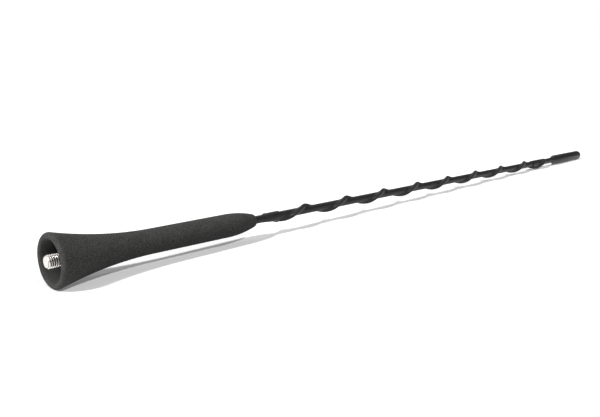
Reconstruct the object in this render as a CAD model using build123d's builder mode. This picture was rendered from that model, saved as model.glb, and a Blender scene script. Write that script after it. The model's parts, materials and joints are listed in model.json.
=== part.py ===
from build123d import *
import os
from math import asin, atan2, degrees, hypot

# Car mast aerial, in millimetres. It lies on a floor: the rim of its mouth and the end of its tip cap touch it.
# The origin is on the mast's axis, in the plane of the mouth. +X runs to the tip, +Y to the back, +Z up.
# Stations are distances from the mouth, along the mast.

# Whole mast
mast_length = 400.0

# Grip, a trumpet-shaped moulding with a hollow mouth
grip_length = 93.5
mouth_diameter = 20.5
lip_round = 1.3
mouth_depth = 10.0
mouth_taper = 0.95
floor_thickness = 1.5
flare_length = 41.4
waist_diameter = 9.9
ogive_length = 14.3
shoulder_diameter = 5.95
nose_length = 1.5
grip_wall = 1.2

# Stud, with a turned tail that is pressed into the coupling
stud_diameter = 5.0
stud_reach = 1.2
stud_chamfer = 0.5
stud_shoulder = 0.5
stud_tail_length = 9.0
centre_mark_diameter = 0.9
centre_mark_depth = 0.6

# Coupling, the insert that the grip is moulded round
head_length = 3.5
head_rim = 0.6
groove_length = 2.5
groove_depth = 1.0
hexagon_length = 10.0
barrel_length = 14.5
barrel_wall = 1.95
ferrule_socket_depth = 15.0

# Whip: rod, ferrule and wire
rod_diameter = 2.5
spigot_length = 20.0
ferrule_wall = 0.32
wire_diameter = 1.2
wire_pitch = 28.52
wire_start_angle = 38.75
wire_bond = 0.1
solder_length = 6.0

# Sleeve and collars
sleeve_wall = 0.46
sleeve_seat = 6.5
neck_length = 4.4
rib_lead = 1.0
rib_bury = 0.22
rib_to_cap = 9.0
collar_wall = 0.4
lower_collar_length = 9.0
lower_collar_inset = 0.3
upper_collar_length = 14.5
upper_collar_inset = 2.5

# Tip cap
cap_length = 41.0
cap_diameter = 5.95
cap_bevel_length = 1.6
cap_bevel_depth = 0.8
cap_end_length = 15.0

# Clearance between pieces that are pushed, shrunk or moulded together
fit_gap = 0.02

# Sides of the wire's section, and of the coupling's
wire_sides = 6
hexagon_sides = 6

# Radii that several pieces share
rod_radius = rod_diameter / 2
wire_radius = wire_diameter / 2
wire_distance = rod_radius + wire_bond + wire_radius
sleeve_radius = rod_radius + fit_gap + sleeve_wall
rim_radius = mouth_diameter / 2
waist_radius = waist_diameter / 2
cap_radius = cap_diameter / 2
stud_radius = stud_diameter / 2
stud_tail_radius = stud_radius - stud_shoulder

# Stations that several pieces share
coupling_start = mouth_depth + floor_thickness
hexagon_start = coupling_start + head_length + groove_length
barrel_start = hexagon_start + hexagon_length
coupling_end = barrel_start + barrel_length
ferrule_start = coupling_end - ferrule_socket_depth
rib_start = grip_length + neck_length
wire_start = rib_start + rib_lead
ferrule_end = wire_start + solder_length
cap_start = mast_length - cap_length
whip_end = mast_length - cap_end_length
rib_end = cap_start - rib_to_cap
wire_end = rib_end - rib_lead

# The mast dips towards its tip until the lip and the cap's round end touch one level floor.
lip_radius = rim_radius - lip_round
rest_run = mast_length - cap_radius - lip_round
rest_dip = atan2(lip_radius, rest_run) + asin((lip_round - cap_radius) / hypot(rest_run, lip_radius))
mast_direction = Vector(1, 0, 0).rotate(Axis.Y, degrees(rest_dip))
mast_axis = Axis((0, 0, 0), mast_direction)

# Cross-sections stand on the mast plane: its local x points to the back, and its local y up.
mast = Plane(origin=(0, 0, 0), x_dir=(0, 1, 0), z_dir=mast_direction)

# Turned profiles lie on the side plane: its local x is the station, and its local y the radius.
side = Plane(origin=(0, 0, 0), x_dir=mast_direction, z_dir=(0, -1, 0))

# A turning section goes once round the mast in each pitch of the wire, from the top to the back.
full_turn = 360.0
from_base = (Align.CENTER, Align.CENTER, Align.MIN)


def round_bar(start, end, radius, mode=Mode.ADD):
    """A round bar, or a round hole, between two stations."""
    with Locations(mast.offset(start)):
        Cylinder(radius, end - start, align=from_base, mode=mode)


def hexagon_bar(start, end, across_flats, mode=Mode.ADD):
    """A hexagonal bar, or a hole of that shape, between two stations."""
    with BuildSketch(mast.offset(start)) as section:
        RegularPolygon(across_flats / 2, hexagon_sides, major_radius=False)
    extrude(section.sketch, amount=end - start, mode=mode)


def wire_plane(station):
    """The cross-section plane at a station, turned so that its local x points at the wire."""
    angle = wire_start_angle - full_turn * (station - wire_start) / wire_pitch
    foot = mast.from_local_coords((0, 0, station))
    return Plane(origin=foot, x_dir=mast.x_dir.rotate(mast_axis, angle), z_dir=mast_direction)


def turned(section, start, end, mode=Mode.ADD):
    """Sweeps a section between two stations, turning it with the wire."""
    foot = mast.from_local_coords((0, 0, start))
    top = mast.from_local_coords((0, 0, end))
    with BuildLine() as path:
        Line(foot, top)
    with BuildLine() as guide:
        Helix(wire_pitch, end - start, wire_distance, center=foot, direction=mast_direction, lefthand=True)
    sweep(section, path=path.line, binormal=guide.line.edge(), mode=mode)


def turned_wire(start, end, gap=0.0, mode=Mode.ADD):
    """The wire, or with a gap the channel that it lies in."""
    with BuildSketch(wire_plane(start)) as section:
        with Locations((wire_distance, 0)):
            RegularPolygon(wire_radius + gap, wire_sides)
    turned(section.sketch, start, end, mode)


def turned_rib(start, end, cover, mode=Mode.ADD):
    """The rib that a skin of a given thickness makes over the wire. Its root is buried in the round skin."""
    root = rod_radius + cover - rib_bury
    with BuildSketch(wire_plane(start)) as section:
        with Locations((wire_distance, 0)):
            RegularPolygon(wire_radius + cover, wire_sides)
        Rectangle(rib_bury, 2 * root)
        make_hull()
    turned(section.sketch, start, end, mode)


def collar(start, end):
    """A short wider sleeve, drawn tight over the sleeve and its rib."""
    bore = fit_gap + sleeve_wall + fit_gap
    round_bar(start, end, rod_radius + bore + collar_wall)
    turned_rib(start, end, bore + collar_wall)
    round_bar(start, end, rod_radius + bore, Mode.SUBTRACT)
    turned_rib(start, end, bore, Mode.SUBTRACT)


def coupling_body(gap=0.0, mode=Mode.ADD):
    """The outside of the coupling, or with a gap the pocket that it leaves in the grip."""
    across_flats = waist_diameter - 2 * grip_wall
    head_radius = across_flats / 2 + head_rim
    groove_radius = head_radius - groove_depth
    barrel_radius = rod_radius + barrel_wall
    groove_start = coupling_start + head_length
    round_bar(coupling_start - gap, groove_start + gap, head_radius + gap, mode)
    round_bar(groove_start, hexagon_start, groove_radius + gap, mode)
    hexagon_bar(hexagon_start - gap, barrel_start + gap, across_flats + 2 * gap, mode)
    round_bar(barrel_start, coupling_end + gap, barrel_radius + gap, mode)


# Grip: one moulding with a rounded lip, a flare, a straight waist, an ogive and a rounded nose.
flare_run = flare_length - lip_round
flare_rise = lip_radius - waist_radius
flare_radius = (flare_run**2 + flare_rise**2 - lip_round**2) / (2 * (flare_rise + lip_round))
flare_share = lip_round / (flare_radius + lip_round)
ogive_start = grip_length - nose_length - ogive_length
mouth_radius = lip_radius - lip_round
floor_radius = mouth_radius - mouth_taper

with BuildPart() as base_grip:
    with BuildSketch(side):
        with BuildLine():
            lip_side = (lip_round * (1 + flare_run / (flare_radius + lip_round)),
                        lip_radius + flare_share * (flare_radius - flare_rise))
            mouth_wall = Line((mouth_depth, 0), (mouth_depth, floor_radius))
            mouth_cone = Line(mouth_wall @ 1, (lip_round, mouth_radius))
            lip = ThreePointArc(mouth_cone @ 1, (0, lip_radius), lip_side)
            flare = TangentArc(lip @ 1, (flare_length, waist_radius), tangent=lip % 1)
            waist = Line(flare @ 1, (ogive_start, waist_radius))
            shoulder = (ogive_start + ogive_length, shoulder_diameter / 2)
            ogive = TangentArc(waist @ 1, shoulder, tangent=waist % 1)
            nose = TangentArc(ogive @ 1, (grip_length, sleeve_radius + fit_gap), tangent=ogive % 1)
            nose_face = Line(nose @ 1, (grip_length, 0))
            Line(nose_face @ 1, mouth_wall @ 0)
        make_face()
    revolve(axis=mast_axis)
    round_bar(mouth_depth, coupling_start, stud_tail_radius + fit_gap, Mode.SUBTRACT)
    coupling_body(fit_gap, Mode.SUBTRACT)
    round_bar(coupling_end, grip_length, rod_radius + fit_gap, Mode.SUBTRACT)
    round_bar(grip_length - sleeve_seat, grip_length, sleeve_radius + fit_gap, Mode.SUBTRACT)
base_grip.part.label = "base_grip"

# Stud: a turned pin with a chamfered end and a lathe centre's mark. Its shoulder sits on the mouth's floor.
with BuildPart() as threaded_stud:
    with BuildSketch(side):
        with BuildLine():
            Polyline(
                (centre_mark_depth - stud_reach, 0),
                (-stud_reach, centre_mark_diameter / 2),
                (-stud_reach, stud_radius - stud_chamfer),
                (stud_chamfer - stud_reach, stud_radius),
                (mouth_depth, stud_radius),
                (mouth_depth, stud_tail_radius),
                (coupling_start + stud_tail_length, stud_tail_radius),
                (coupling_start + stud_tail_length, 0),
                close=True,
            )
        make_face()
    revolve(axis=mast_axis)
threaded_stud.part.label = "threaded_stud"

# Coupling: headed and hexagonal so that it can neither pull out nor turn, with a socket at each end.
with BuildPart() as coupling:
    coupling_body()
    round_bar(coupling_start, coupling_start + stud_tail_length + fit_gap, stud_tail_radius + fit_gap, Mode.SUBTRACT)
    round_bar(ferrule_start - fit_gap, coupling_end, rod_radius + fit_gap, Mode.SUBTRACT)
coupling.part.label = "coupling"

# Ferrule: a pin as thick as the rod, with a socket for the rod's spigot.
socket_radius = rod_radius - ferrule_wall
with BuildPart() as ferrule:
    round_bar(ferrule_start, ferrule_end, rod_radius)
    round_bar(ferrule_end - spigot_length, ferrule_end, socket_radius, Mode.SUBTRACT)
ferrule.part.label = "ferrule"

# Rod: the springy core, turned down to a spigot that fills the ferrule's socket.
with BuildPart() as whip_rod:
    round_bar(ferrule_end, whip_end, rod_radius)
    round_bar(ferrule_end - spigot_length + fit_gap, ferrule_end, socket_radius - fit_gap)
whip_rod.part.label = "whip_rod"

# Wire: wound left-handed from the ferrule up the rod, here with a six-sided section.
with BuildPart() as antenna_wire:
    turned_wire(wire_start, wire_end)
antenna_wire.part.label = "antenna_wire"

# Sleeve: round where it covers the rod alone, with a spiral rib where it covers the wire too.
with BuildPart() as shrink_sleeve:
    round_bar(grip_length - sleeve_seat + fit_gap, whip_end, sleeve_radius)
    turned_rib(rib_start, rib_end, fit_gap + sleeve_wall)
    round_bar(grip_length - sleeve_seat, whip_end, rod_radius + fit_gap, Mode.SUBTRACT)
    turned_wire(wire_start - fit_gap, wire_end + fit_gap, fit_gap, Mode.SUBTRACT)
shrink_sleeve.part.label = "shrink_sleeve"

# Collars: short lengths of a wider sleeve that bind the two ends of the wire.
lower_collar_start = rib_start + lower_collar_inset
with BuildPart() as lower_collar:
    collar(lower_collar_start, lower_collar_start + lower_collar_length)
lower_collar.part.label = "lower_collar"

upper_collar_end = rib_end - upper_collar_inset
with BuildPart() as upper_collar:
    collar(upper_collar_end - upper_collar_length, upper_collar_end)
upper_collar.part.label = "upper_collar"

# Tip cap: a blind tube with a bevelled foot and a round end, pushed over the end of the whip.
with BuildPart() as tip_cap:
    with BuildSketch(side):
        with BuildLine():
            walls = Polyline(
                (mast_length, 0),
                (whip_end + fit_gap, 0),
                (whip_end + fit_gap, sleeve_radius + fit_gap),
                (cap_start, sleeve_radius + fit_gap),
                (cap_start, cap_radius - cap_bevel_depth),
                (cap_start + cap_bevel_length, cap_radius),
                (mast_length - cap_radius, cap_radius),
            )
            TangentArc(walls @ 1, walls @ 0, tangent=walls % 1)
        make_face()
    revolve(axis=mast_axis)
tip_cap.part.label = "tip_cap"

os.makedirs("parts", exist_ok=True)
export_step(base_grip.part, "parts/base_grip.step")
export_step(threaded_stud.part, "parts/threaded_stud.step")
export_step(coupling.part, "parts/coupling.step")
export_step(ferrule.part, "parts/ferrule.step")
export_step(whip_rod.part, "parts/whip_rod.step")
export_step(antenna_wire.part, "parts/antenna_wire.step")
export_step(shrink_sleeve.part, "parts/shrink_sleeve.step")
export_step(lower_collar.part, "parts/lower_collar.step")
export_step(upper_collar.part, "parts/upper_collar.step")
export_step(tip_cap.part, "parts/tip_cap.step")
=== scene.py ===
import json
from math import acos, atan2, cos, hypot, pi, radians, sin, tau

import bmesh
import bpy
from mathutils import Matrix, Vector


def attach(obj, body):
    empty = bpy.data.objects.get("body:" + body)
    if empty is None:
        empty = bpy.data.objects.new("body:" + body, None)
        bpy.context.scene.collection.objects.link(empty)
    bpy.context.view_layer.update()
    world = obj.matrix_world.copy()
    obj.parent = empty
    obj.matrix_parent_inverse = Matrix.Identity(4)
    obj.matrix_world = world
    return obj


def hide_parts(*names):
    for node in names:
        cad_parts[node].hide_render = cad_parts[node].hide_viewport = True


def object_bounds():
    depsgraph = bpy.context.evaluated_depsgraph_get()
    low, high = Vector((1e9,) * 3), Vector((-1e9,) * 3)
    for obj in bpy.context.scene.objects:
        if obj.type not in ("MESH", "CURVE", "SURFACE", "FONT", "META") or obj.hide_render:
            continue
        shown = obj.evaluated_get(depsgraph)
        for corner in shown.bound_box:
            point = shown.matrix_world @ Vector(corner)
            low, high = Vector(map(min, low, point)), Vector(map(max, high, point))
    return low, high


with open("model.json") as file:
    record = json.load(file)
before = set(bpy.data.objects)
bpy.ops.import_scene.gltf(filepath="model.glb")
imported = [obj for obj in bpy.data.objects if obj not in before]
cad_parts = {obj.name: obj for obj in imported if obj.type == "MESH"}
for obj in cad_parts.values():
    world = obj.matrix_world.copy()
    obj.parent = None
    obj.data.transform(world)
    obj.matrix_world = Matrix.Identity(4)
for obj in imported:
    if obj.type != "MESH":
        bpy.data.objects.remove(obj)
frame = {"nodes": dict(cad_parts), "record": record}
solid_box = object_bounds()

# Coupling and ferrule. Two brass turnings inside the grip: the coupling holds the stud below
# and the ferrule above, and the ferrule is a tube that carries the whip's rod.
# Both keep their solids' shapes, with fine rings left by the lathe.
brass_yellow = (0.55, 0.34, 0.10, 1.0)
brass_brown = (0.40, 0.22, 0.06, 1.0)
brass_roughness = 0.28
brass_roughness_spread = 0.2
tarnish_patch = 0.004
lathe_ring = 0.00025
lathe_ring_depth = 0.000006
wave_width_at_scale_one = 0.3
mast_out = Vector(frame["record"]["mounts"][0]["axis"])
mast_dip = atan2(mast_out.z, -mast_out.x)


class Shade:
    """A socket in a material's nodes. Arithmetic on it adds Math nodes."""

    def __init__(self, tree, socket=None):
        self.tree = tree
        self.socket = socket

    def node(self, kind, settings=None, inputs=None, output=0):
        """Adds a node of any type, sets it up, and fills its inputs with values or links."""
        made = self.tree.nodes.new(kind)
        for name, value in (settings or {}).items():
            setattr(made, name, value)
        for name, value in (inputs or {}).items():
            if isinstance(value, Shade):
                self.tree.links.new(value.socket, made.inputs[name])
            else:
                made.inputs[name].default_value = value
        return Shade(self.tree, made.outputs[output] if made.outputs else None)

    def math(self, operation, first, second):
        """Adds a Math node on two values."""
        return self.node("ShaderNodeMath", {"operation": operation}, {0: first, 1: second})

    def __add__(self, other):
        return self.math("ADD", self, other)

    def __sub__(self, other):
        return self.math("SUBTRACT", self, other)

    def __rsub__(self, other):
        return self.math("SUBTRACT", other, self)

    def __mul__(self, other):
        return self.math("MULTIPLY", self, other)

    __radd__ = __add__
    __rmul__ = __mul__


def new_material(name):
    """A material with an empty tree, and the place on the mast that its patterns read."""
    material = bpy.data.materials.new(name)
    material.use_nodes = True
    material.node_tree.nodes.clear()
    tree = Shade(material.node_tree)
    place = tree.node("ShaderNodeTexCoord", output="Object")
    level_mast = {"Vector": place, "Rotation": (0.0, -mast_dip, 0.0)}
    return material, tree.node("ShaderNodeMapping", inputs=level_mast)


def noise(along, grain, detail=2.0, stretch=1.0):
    """Noise with grains of a given size in metres, drawn out along the mast by a factor."""
    drawn = along.node("ShaderNodeMapping", inputs={"Vector": along, "Scale": (1 / stretch, 1.0, 1.0)})
    return along.node("ShaderNodeTexNoise", inputs={"Vector": drawn, "Scale": 1 / grain, "Detail": detail})


def blend(mask, low, high):
    """A colour between two, by a mask from 0 to 1."""
    # A Mix node keeps its colours in the inputs 6 and 7, and gives the mixed one as output 2.
    return mask.node("ShaderNodeMix", {"data_type": "RGBA"}, {"Factor": mask, 6: low, 7: high}, output=2)


def relief(height, depth):
    """A surface normal from a height, with a full relief of a given depth in metres."""
    return height.node("ShaderNodeBump", inputs={"Height": height, "Distance": depth})


def finish(along, **sockets):
    """Ends a material with one principled shader."""
    inputs = {name.replace("_", " "): value for name, value in sockets.items()}
    shader = along.node("ShaderNodeBsdfPrincipled", inputs=inputs)
    along.node("ShaderNodeOutputMaterial", inputs={"Surface": shader})


def dress(name, material):
    """Gives a solid of the frame its finish."""
    solid = frame["nodes"][name]
    solid.data.materials.clear()
    solid.data.materials.append(material)
    return solid


brass, along = new_material("brass_turning")
patches = noise(along, tarnish_patch)
ring_wave = {"Vector": along, "Scale": wave_width_at_scale_one / lathe_ring}
rings = along.node("ShaderNodeTexWave", {"bands_direction": "X"}, ring_wave, output=1)
finish(
    along,
    Base_Color=blend(patches, brass_brown, brass_yellow),
    Metallic=1.0,
    Roughness=patches * brass_roughness_spread + brass_roughness,
    Normal=relief(rings, lathe_ring_depth),
)
for name in ("coupling", "ferrule"):
    dress(name, brass)

# Stud. A nickel-plated steel stud with an M5 thread, chamfered at its free end, with the mark of
# a lathe's centre. Its plain tail is pressed through the mouth's floor into the coupling.
stud_end = -1.2
stud_radius = 2.5
thread_pitch = 0.8
thread_depth = 0.49
thread_crest = 0.08
crest_bevel = 0.08
thread_root = 0.2
thread_end = 10.0
thread_steps = 48
thread_spare_turns = 2
thread_weld = 0.001
chamfer = 0.5
mark_radius = 0.45
mark_depth = 0.6
tail_radius = 2.0
tail_end = 20.5
stud_sharp_from = radians(28)
nickel_bright = (0.80, 0.77, 0.73, 1.0)
nickel_dull = (0.62, 0.59, 0.55, 1.0)
nickel_roughness = 0.16
nickel_roughness_spread = 0.12
nickel_cloud = 0.0012
nickel_cloud_detail = 3.0
nickel_pit = 0.00012
nickel_pit_depth = 0.000002
weld = 0.0005
millimetre = 0.001
mast_side = Vector((0.0, 1.0, 0.0))
mast_up = mast_side.cross(mast_out)
mast_turn = Matrix((mast_side, mast_up, -mast_out)).transposed().to_4x4()
lie_down = mast_turn @ Matrix.Scale(millimetre, 4)
up_mast = Vector((0.0, 0.0, 1.0))


def line_to(bm, start, radius, station):
    """Draws a straight run of an outline from a vertex, and gives its far end."""
    end = bmesh.ops.extrude_vert_indiv(bm, verts=[start])["verts"][0]
    end.co = radius, 0.0, station
    return end


def open_rim(bm, station, below):
    """The open edges of a mesh on one side of a station, below it or not."""
    open_edges = [edge for edge in bm.edges if edge.is_boundary]
    return [edge for edge in open_edges if (edge.verts[0].co.z < station) == below]


def draw_in(bm, rim, radius, station):
    """Draws a skin from an open rim to a circle at a station, and gives the new rim."""
    drawn = bmesh.ops.extrude_edge_only(bm, edges=rim)["geom"]
    for vertex in [part for part in drawn if isinstance(part, bmesh.types.BMVert)]:
        vertex.co.xy *= radius / vertex.co.xy.length
        vertex.co.z = station
    return [part for part in drawn if isinstance(part, bmesh.types.BMEdge) and part.is_boundary]


def lay(bm, name, material, sharp_from):
    """Closes a mesh, lays it down in the frame and makes it an object.

    Edges stay sharp from a given angle between their faces.
    """
    bmesh.ops.remove_doubles(bm, verts=bm.verts, dist=weld)
    bmesh.ops.recalc_face_normals(bm, faces=bm.faces)
    bmesh.ops.transform(bm, matrix=lie_down, verts=bm.verts)
    mesh = bpy.data.meshes.new(name)
    bm.to_mesh(mesh)
    bm.free()
    mesh.shade_smooth()
    mesh.set_sharp_from_angle(angle=sharp_from)
    mesh.materials.append(material)
    piece = bpy.data.objects.new(name, mesh)
    bpy.context.scene.collection.objects.link(piece)
    return piece


bm = bmesh.new()
flank = (thread_pitch - thread_crest - thread_root) / 2 - crest_bevel
tip = bm.verts.new((stud_radius, 0.0, stud_end - thread_pitch))
tip = line_to(bm, tip, stud_radius, tip.co.z + thread_crest)
tip = line_to(bm, tip, stud_radius - crest_bevel, tip.co.z + crest_bevel)
tip = line_to(bm, tip, stud_radius - thread_depth, tip.co.z + flank)
tip = line_to(bm, tip, stud_radius - thread_depth, tip.co.z + thread_root)
tip = line_to(bm, tip, stud_radius - crest_bevel, tip.co.z + flank)
tip = line_to(bm, tip, stud_radius, tip.co.z + crest_bevel)
turns = int((thread_end - stud_end) / thread_pitch) + thread_spare_turns
bmesh.ops.spin(
    bm,
    geom=bm.verts[:] + bm.edges[:],
    axis=up_mast,
    dvec=up_mast * thread_pitch / thread_steps,
    angle=turns * tau,
    steps=turns * thread_steps,
)
bmesh.ops.remove_doubles(bm, verts=bm.verts, dist=thread_weld)
for station, outward in ((stud_end, -up_mast), (thread_end, up_mast)):
    whole = bm.verts[:] + bm.edges[:] + bm.faces[:]
    bmesh.ops.bisect_plane(bm, geom=whole, plane_co=up_mast * station, plane_no=outward, clear_outer=True)
for vertex in bm.verts:
    reach = hypot(vertex.co.x, vertex.co.y)
    limit = stud_radius - chamfer + vertex.co.z - stud_end
    if reach > limit:
        vertex.co.xy *= limit / reach
mark = open_rim(bm, 0.0, True)
for radius, station in ((mark_radius, stud_end), (0.0, stud_end + mark_depth)):
    mark = draw_in(bm, mark, radius, station)
tail = open_rim(bm, 0.0, False)
for radius, station in ((tail_radius, thread_end), (tail_radius, tail_end), (0.0, tail_end)):
    tail = draw_in(bm, tail, radius, station)

nickel, along = new_material("nickel_plate")
cloud = noise(along, nickel_cloud, nickel_cloud_detail)
finish(
    along,
    Base_Color=blend(cloud, nickel_dull, nickel_bright),
    Metallic=1.0,
    Roughness=cloud * nickel_roughness_spread + nickel_roughness,
    Normal=relief(noise(along, nickel_pit), nickel_pit_depth),
)
stud = lay(bm, "plated_stud", nickel, stud_sharp_from)
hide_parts("threaded_stud")
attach(stud, "root")

# Grip. One moulding of hard black rubber round the coupling: a hollow mouth with a round lip,
# a trumpet flare, a straight waist and an ogive nose. The mould leaves a fine even grain.
grip_length = 93.5
rim_radius = 10.25
lip_round = 1.3
lip_steps = 20
mouth_depth = 10.0
mouth_taper = 0.95
flare_length = 41.4
flare_steps = 28
waist_radius = 4.95
ogive_start = 77.7
ogive_end = 92.0
ogive_steps = 16
shoulder_radius = 2.975
nose_radius = 1.75
nose_steps = 8
sleeve_seat = 6.5
pocket_start = 11.5
pocket_end = 42.0
pocket_radius = 4.35
bore_radius = 1.3
grip_steps = 128
grip_sharp_from = radians(40)
rubber_black = (0.018, 0.0177, 0.0173, 1.0)
rubber_grey = (0.080, 0.0788, 0.0771, 1.0)
rubber_roughness = 0.6
rubber_roughness_spread = 0.2
rubber_gloss = 0.08
rubber_grain = 0.0003
rubber_grain_detail = 4.0
rubber_grain_depth = 0.00018
speckle_start = 0.36
speckle_full = 0.64
mottle_patch = 0.006
mottle_detail = 1.0
mottle_share = 0.2
mouth_grey = (0.060, 0.059, 0.058, 1.0)
# The painted shade deep inside the mouth, where the lining darkens with depth.
mouth_painted_shade = (0.012, 0.0118, 0.0116, 1.0)
mouth_margin_start = 0.35
mouth_margin_full = 0.15
mouth_taper_share = 0.1


def swing(bm, start, hub, axis, angle, steps):
    """Draws a round stretch of an outline from a vertex about a hub, and gives its far end."""
    swung = bmesh.ops.spin(bm, geom=[start], cent=hub, axis=axis, angle=angle, steps=steps)
    return [part for part in swung["geom_last"] if isinstance(part, bmesh.types.BMVert)][0]


def arc_to(bm, start, heading, radius, station, steps):
    """Draws an arc that leaves a vertex at a heading, and gives its far end and its heading there.

    A heading is 0 towards the tip of the mast, and a quarter turn outwards.
    """
    run = station - start.co.z
    rise = radius - start.co.x
    inward = run * sin(heading) - rise * cos(heading)
    onward = run * cos(heading) + rise * sin(heading)
    bend = 2 * atan2(inward, onward)
    reach = (run**2 + rise**2) / (2 * inward)
    hub = (start.co.x - reach * cos(heading), 0.0, start.co.z + reach * sin(heading))
    return swing(bm, start, hub, mast_side, -bend, steps), heading - bend


def turn(bm, steps):
    """Turns all of an outline once round the mast."""
    outline = bm.verts[:] + bm.edges[:]
    bmesh.ops.spin(bm, geom=outline, axis=up_mast, angle=tau, steps=steps, use_merge=True)


lip_radius = rim_radius - lip_round
mouth_radius = lip_radius - lip_round
flare_run = flare_length - lip_round
flare_rise = lip_radius - waist_radius
flare_radius = (flare_run**2 + flare_rise**2 - lip_round**2) / (2 * (flare_rise + lip_round))
lip_share = lip_round / (flare_radius + lip_round)
flare_start = lip_round + lip_share * flare_run
flare_start_radius = lip_radius + lip_share * (flare_radius - flare_rise)

bm = bmesh.new()
tip = bm.verts.new((tail_radius, 0.0, mouth_depth))
tip = line_to(bm, tip, mouth_radius - mouth_taper, mouth_depth)
tip = line_to(bm, tip, mouth_radius, lip_round)
tip, heading = arc_to(bm, tip, pi, flare_start_radius, flare_start, lip_steps)
tip, heading = arc_to(bm, tip, heading, waist_radius, flare_length, flare_steps)
tip = line_to(bm, tip, waist_radius, ogive_start)
tip, heading = arc_to(bm, tip, 0.0, shoulder_radius, ogive_end, ogive_steps)
tip, heading = arc_to(bm, tip, heading, nose_radius, grip_length, nose_steps)
tip = line_to(bm, tip, nose_radius, grip_length - sleeve_seat)
tip = line_to(bm, tip, bore_radius, grip_length - sleeve_seat)
tip = line_to(bm, tip, bore_radius, pocket_end)
tip = line_to(bm, tip, pocket_radius, pocket_end)
tip = line_to(bm, tip, pocket_radius, pocket_start)
tip = line_to(bm, tip, tail_radius, pocket_start)
line_to(bm, tip, tail_radius, mouth_depth)
turn(bm, grip_steps)


def reach_out(along, spread):
    """The distance from the mast's foot, along the directions that the spread keeps."""
    kept = along.node("ShaderNodeVectorMath", {"operation": "MULTIPLY"}, {0: along, 1: spread})
    return along.node("ShaderNodeVectorMath", {"operation": "LENGTH"}, {0: kept}, "Value")


def climb(value, start, end):
    """A mask that goes smoothly from 0 to 1 while a value goes from start to end."""
    limits = {"Value": value, "From Min": start, "From Max": end}
    return value.node("ShaderNodeMapRange", {"interpolation_type": "SMOOTHSTEP"}, limits)


rubber, along = new_material("grip_moulding")
grain = noise(along, rubber_grain, rubber_grain_detail)
speckle = climb(grain, speckle_start, speckle_full)
mottle = noise(along, mottle_patch, mottle_detail)
across = reach_out(along, (0.0, 1.0, 1.0))
inward = reach_out(along, (1.0, 0.0, 0.0))
mouth = climb(
    across + inward * mouth_taper_share,
    (mouth_radius + mouth_margin_start) * millimetre,
    (mouth_radius + mouth_margin_full) * millimetre,
)
# Painted shade: the mouth's lining darkens with depth, from its grey at the lip to near black deep inside,
# where shade falls in the hole.
depth = climb(inward, lip_round * millimetre, mouth_depth * millimetre)
tone = mottle * mottle_share + speckle * (1.0 - mottle_share)
outer_colour = blend(tone, rubber_black, rubber_grey)
finish(
    along,
    Base_Color=blend(mouth, outer_colour, blend(depth, mouth_grey, mouth_painted_shade)),
    Roughness=grain * rubber_roughness_spread + rubber_roughness,
    Specular_IOR_Level=rubber_gloss,
    Normal=relief(grain * (1.0 - mouth), rubber_grain_depth),
)
grip = lay(bm, "moulded_grip", rubber, grip_sharp_from)
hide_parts("base_grip")
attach(grip, "root")

# Rod. The springy core of the whip, a drawn rod of glass fibre in pale resin, fixed in the ferrule.
# It keeps its solid's shape, with the fibres running along it.
resin_pale = (0.62, 0.60, 0.46, 1.0)
resin_fibre = (0.74, 0.72, 0.62, 1.0)
resin_roughness = 0.3
resin_roughness_spread = 0.2
fibre_width = 0.00015
fibre_detail = 3.0
fibre_stretch = 60.0
fibre_depth = 0.00001

resin, along = new_material("glass_fibre_rod")
fibres = noise(along, fibre_width, fibre_detail, fibre_stretch)
finish(
    along,
    Base_Color=blend(fibres, resin_pale, resin_fibre),
    Roughness=fibres * resin_roughness_spread + resin_roughness,
    Normal=relief(fibres, fibre_depth),
)
dress("whip_rod", resin)

# Wire. The aerial's conductor, a drawn copper wire in a clear enamel, soldered to the ferrule and
# wound left-handed up the rod in a wide even spiral.
rod_radius = 1.25
wire_radius = 0.6
wire_sides = 12
wire_distance = 1.95
wire_pitch = 28.52
wire_start = 98.9
wire_start_angle = radians(38.75)
winding_start = 102.0
winding_end = 345.5
steps_per_turn = 40
wire_sharp_from = radians(40)
copper_red = (0.62, 0.24, 0.10, 1.0)
copper_dark = (0.42, 0.14, 0.06, 1.0)
copper_roughness = 0.22
copper_roughness_spread = 0.15
draw_mark = 0.0006
enamel = 0.4
wire_hub = Vector((wire_distance, 0.0, 0.0))


def wind(bm, start, end):
    """Sweeps all of an outline at the foot of the mast up between two stations, turning with the wire."""
    turns = (end - start) / wire_pitch
    steps = round(turns * steps_per_turn)
    angle = wire_start_angle - tau * (start - wire_start) / wire_pitch
    place = Matrix.Translation(up_mast * start) @ Matrix.Rotation(angle, 4, "Z")
    bmesh.ops.transform(bm, matrix=place, verts=bm.verts)
    outline = bm.verts[:] + bm.edges[:]
    rise = up_mast * (end - start) / steps
    bmesh.ops.spin(bm, geom=outline, axis=up_mast, dvec=rise, angle=-turns * tau, steps=steps)


bm = bmesh.new()
wire_place = Matrix.Translation(wire_hub)
bmesh.ops.create_circle(bm, segments=wire_sides, radius=wire_radius, matrix=wire_place)
wind(bm, winding_start, winding_end)
bmesh.ops.holes_fill(bm, edges=bm.edges)

copper, along = new_material("copper_wire")
draw_marks = noise(along, draw_mark)
finish(
    along,
    Base_Color=blend(draw_marks, copper_dark, copper_red),
    Metallic=1.0,
    Roughness=draw_marks * copper_roughness_spread + copper_roughness,
    Coat_Weight=enamel,
)
winding = lay(bm, "copper_winding", copper, wire_sharp_from)
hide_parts("antenna_wire")
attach(winding, "root")

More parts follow.
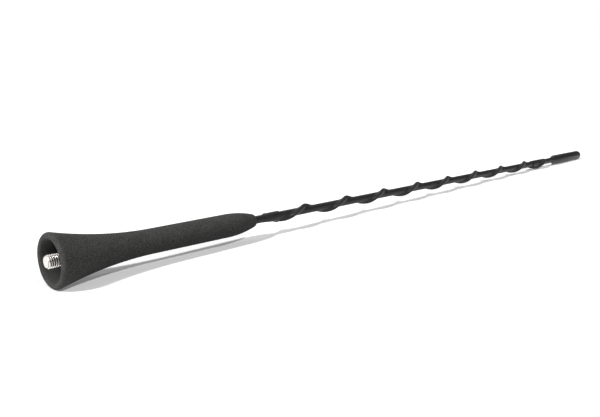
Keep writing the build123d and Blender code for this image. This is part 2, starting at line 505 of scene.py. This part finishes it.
# Sleeve. A black heat-shrink tube drawn tight over rod and wire, from inside the grip's nose to
# inside the cap. It stands out over the wire as a smooth spiral rib.
sleeve_start = 87.05
sleeve_end = 384.9
sleeve_bore = 0.02
sleeve_cover = 0.48
rim_bevel = 0.05
rib_start = 97.9
rib_end = 349.0
rib_rise = 4.0
rib_fall = 2.5
rib_ends = ((rib_start, rib_rise), (rib_end, -rib_fall))
rod_side_steps = 26
wire_side_steps = 14
flank_cuts = 3
sleeve_sharp_from = radians(40)
sleeve_black = (0.010, 0.0099, 0.0098, 1.0)
sleeve_grey = (0.020, 0.0198, 0.0196, 1.0)
sleeve_roughness = 0.34
sleeve_roughness_spread = 0.18
sleeve_gloss = 0.22
crease_width = 0.0007
crease_detail = 3.0
crease_stretch = 5.0
crease_depth = 0.00003


def skin_outline(bm, cover):
    """The outline of a skin drawn tight round rod and wire, with the wire on local x."""
    large = rod_radius + cover
    small = wire_radius + cover
    contact = acos((large - small) / wire_distance)
    start = bm.verts.new((large * cos(contact), large * sin(contact), 0.0))
    rod_side = swing(bm, start, (0.0, 0.0, 0.0), up_mast, tau - 2 * contact, rod_side_steps)
    flank = bmesh.ops.extrude_vert_indiv(bm, verts=[rod_side])
    flank_end = flank["verts"][0]
    flank_end.co = wire_distance + small * cos(contact), -small * sin(contact), 0.0
    wire_side = swing(bm, flank_end, wire_hub, up_mast, 2 * contact, wire_side_steps)
    last_flank = bm.edges.new((wire_side, start))
    bmesh.ops.subdivide_edges(bm, edges=[last_flank, flank["edges"][0]], cuts=flank_cuts)


def ease(share):
    """Turns a share of a way into a smooth one, level at both ends."""
    share = min(max(share, 0.0), 1.0)
    return share * share * (3 - 2 * share)


def wound_skin(bm, cover, start, end, ramps, thinning=0.0, thin_run=1.0):
    """A skin wound up between two stations. A ramp, with its station and run, takes it down to the rod.

    With a thinning, it loses that much of its thickness at its start, and gains it over a run.
    """
    skin = bmesh.new()
    skin_outline(skin, cover)
    wind(skin, start, end)
    for vertex in skin.verts:
        reach = hypot(vertex.co.x, vertex.co.y)
        share = min([1.0] + [ease((vertex.co.z - station) / run) for station, run in ramps])
        bare = rod_radius + cover
        height = bare + (reach - bare) * share
        height -= thinning * (1.0 - ease((vertex.co.z - start) / thin_run))
        vertex.co.xy *= height / reach
    mesh = bpy.data.meshes.new("skin")
    skin.to_mesh(mesh)
    skin.free()
    bm.from_mesh(mesh)
    bpy.data.meshes.remove(mesh)


def wound_tube(bm, bore, cover, start, end, ramps, thinning=0.0, thin_run=1.0):
    """A wall between two wound skins, closed by a slightly hollow rim at each end."""
    wound_skin(bm, bore, start + rim_bevel, end - rim_bevel, ramps)
    wound_skin(bm, cover, start, end, ramps, thinning, thin_run)
    middle = (start + end) / 2
    for below in (True, False):
        bmesh.ops.bridge_loops(bm, edges=open_rim(bm, middle, below))


bm = bmesh.new()
wound_tube(bm, sleeve_bore, sleeve_cover, sleeve_start, sleeve_end, rib_ends)

satin, along = new_material("sleeve")
creases = noise(along, crease_width, crease_detail, crease_stretch)
finish(
    along,
    Base_Color=blend(creases, sleeve_black, sleeve_grey),
    Roughness=creases * sleeve_roughness_spread + sleeve_roughness,
    Specular_IOR_Level=sleeve_gloss,
    Normal=relief(creases, crease_depth),
)
sleeve = lay(bm, "shrunk_sleeve", satin, sleeve_sharp_from)
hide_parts("shrink_sleeve")
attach(sleeve, "root")

# Collars. Two short lengths of a wider heat-shrink tube, drawn over the sleeve to bind the foot of
# the wire, just above the grip, and its end, below the cap.
collar_bore = 0.5
collar_cover = 0.9
foot_collar_start = 98.2
foot_collar_end = 107.2
foot_edge = 0.06
foot_taper = 5.0
foot_thinning = collar_cover - collar_bore - foot_edge
end_collar_start = 333.0
end_collar_end = 347.5
collars = (
    ("foot_collar", "lower_collar", foot_collar_start, foot_collar_end, foot_thinning),
    ("end_collar", "upper_collar", end_collar_start, end_collar_end, 0.0),
)
for name, node, start, end, thinning in collars:
    bm = bmesh.new()
    wound_tube(bm, collar_bore, collar_cover, start, end, rib_ends, thinning, foot_taper)
    collar = lay(bm, name, satin, sleeve_sharp_from)
    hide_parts(node)
    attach(collar, "root")

# Cap. A blind tube of satin black plastic with a bevelled foot and a round end, pushed over the end
# of the whip and glued.
cap_start = 359.0
mast_length = 400.0
cap_radius = 2.975
cap_foot_radius = 1.85
cap_bevel_start = 360.4
cap_bevel_end = 363.6
cap_socket_radius = 1.75
cap_socket_end = 385.0
cap_end_steps = 16
cap_steps = 64
cap_sharp_from = radians(30)
cap_black = (0.010, 0.010, 0.010, 1.0)
cap_grey = (0.019, 0.019, 0.019, 1.0)
cap_roughness = 0.26
cap_roughness_spread = 0.12
cap_gloss = 0.25
cap_grain = 0.0003
cap_grain_detail = 3.0
cap_grain_depth = 0.00002

bm = bmesh.new()
tip = bm.verts.new((0.0, 0.0, cap_socket_end))
tip = line_to(bm, tip, cap_socket_radius, cap_socket_end)
tip = line_to(bm, tip, cap_socket_radius, cap_start)
tip = line_to(bm, tip, cap_foot_radius, cap_start)
tip = line_to(bm, tip, cap_foot_radius, cap_bevel_start)
tip = line_to(bm, tip, cap_radius, cap_bevel_end)
tip = line_to(bm, tip, cap_radius, mast_length - cap_radius)
arc_to(bm, tip, 0.0, 0.0, mast_length, cap_end_steps)
turn(bm, cap_steps)

plastic, along = new_material("cap_moulding")
grain = noise(along, cap_grain, cap_grain_detail)
finish(
    along,
    Base_Color=blend(grain, cap_black, cap_grey),
    Roughness=grain * cap_roughness_spread + cap_roughness,
    Specular_IOR_Level=cap_gloss,
    Normal=relief(grain, cap_grain_depth),
)
cap = lay(bm, "round_cap", plastic, cap_sharp_from)
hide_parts("tip_cap")
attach(cap, "root")

# Floor. A wide sheet of white studio paper, which the lip and the cap's end touch. Beside the mast
# it throws less light back on it, as with a dark card, so that the lower half of the grip stays dark.
floor_half = 6.0
floor_white = (0.95, 0.95, 0.95, 1.0)
floor_bounce = (0.28, 0.28, 0.28, 1.0)
floor_glow = (0.17, 0.17, 0.17, 1.0)
no_glow = (0.0, 0.0, 0.0, 1.0)
bounce_white_end = -0.02
bounce_grey_start = 0.03


def rays(shade, *kinds):
    """1 for rays of the given kinds, and 0 for all others."""
    first, *others = [shade.node("ShaderNodeLightPath", output=f"Is {kind} Ray") for kind in kinds]
    return sum(others, first)


def part_along(vector, way):
    """How far a vector goes along a way."""
    return vector.node("ShaderNodeVectorMath", {"operation": "DOT_PRODUCT"}, {0: vector, 1: way}, "Value")


bm = bmesh.new()
bmesh.ops.create_grid(bm, x_segments=1, y_segments=1, size=floor_half)
bmesh.ops.translate(bm, verts=bm.verts, vec=(0.0, 0.0, solid_box[0][2]))
mesh = bpy.data.meshes.new("paper")
bm.to_mesh(mesh)
bm.free()
paper, along = new_material("studio_paper")
seen = rays(along, "Camera", "Glossy", "Transmission")
beside = climb(part_along(along, (1.0, 0.0, 0.0)), bounce_white_end, bounce_grey_start)
finish(
    along,
    Base_Color=blend(seen, blend(beside, floor_white, floor_bounce), floor_white),
    Specular_IOR_Level=0.0,
    Emission_Color=blend(seen, no_glow, floor_glow),
    Emission_Strength=1.0,
)
mesh.materials.append(paper)
floor = bpy.data.objects.new("paper", mesh)
bpy.context.scene.collection.objects.link(floor)

# Light. A dim room with a white backdrop and a soft white panel above it, and three lamps: a strong
# one on the left that shines along the mast into its mouth, a weaker one in front and a faint one
# overhead. Each lamp has a power, a softness and the way towards it.
room_white = (1.0, 1.0, 1.0, 1.0)
room_level = 0.17
dim_level = 0.12
backdrop_top = 0.05
backdrop_fade = 0.12
panel_way = Vector((-0.35, 0.6, 0.72)).normalized()
panel_start = 0.1
panel_full = 0.6
lamps = (
    ("left_lamp", 3.44, radians(6), Vector((-1.2, -0.04, 1.0))),
    ("front_lamp", 1.64, radians(3), Vector((0.0, -1.05, 1.0))),
    ("top_lamp", 0.17, radians(8), Vector((-0.1, 0.33, 1.0))),
)

world = bpy.data.worlds.new("room")
world.use_nodes = True
world.node_tree.nodes.clear()
room = Shade(world.node_tree)
way = room.node("ShaderNodeTexCoord", output="Generated")
backdrop = climb(part_along(way, (0.0, 0.0, 1.0)), backdrop_fade, backdrop_top)
panel = climb(part_along(way, panel_way), panel_start, panel_full)
bright = room.math("MAXIMUM", room.math("MAXIMUM", backdrop, panel), rays(room, "Camera"))
level = bright * (1.0 - dim_level) + dim_level
seen = rays(room, "Camera", "Glossy", "Transmission")
strength = (seen * (1.0 - room_level) + room_level) * level
sky = room.node("ShaderNodeBackground", inputs={"Color": room_white, "Strength": strength})
room.node("ShaderNodeOutputWorld", inputs={"Surface": sky})
bpy.context.scene.world = world

for name, power, softness, direction in lamps:
    lamp = bpy.data.lights.new(name, "SUN")
    lamp.energy = power
    lamp.angle = softness
    lamp_object = bpy.data.objects.new(name, lamp)
    lamp_object.rotation_euler = direction.to_track_quat("Z", "Y").to_euler()
    bpy.context.scene.collection.objects.link(lamp_object)

# Camera. It stands low in front of the mast and to its left, with the mouth near it, and looks down
# a little along the mast. Its place is in millimetres, and its lens fits a frame of 36 mm.
camera_place = Vector((-106.01, -233.60, 76.17))
camera_azimuth = radians(-44.182)
camera_tilt = radians(13.338)
camera_lens = 43.8
camera_sensor = 36.0
camera_near = 0.01

camera = bpy.data.cameras.new("camera")
camera.lens = camera_lens
camera.sensor_width = camera_sensor
camera.clip_start = camera_near
camera_object = bpy.data.objects.new("camera", camera)
camera_object.location = camera_place * millimetre
camera_object.rotation_euler = (pi / 2 - camera_tilt, 0.0, camera_azimuth)
bpy.context.scene.collection.objects.link(camera_object)
bpy.context.scene.camera = camera_object
bpy.context.scene.view_settings.view_transform = "Standard"
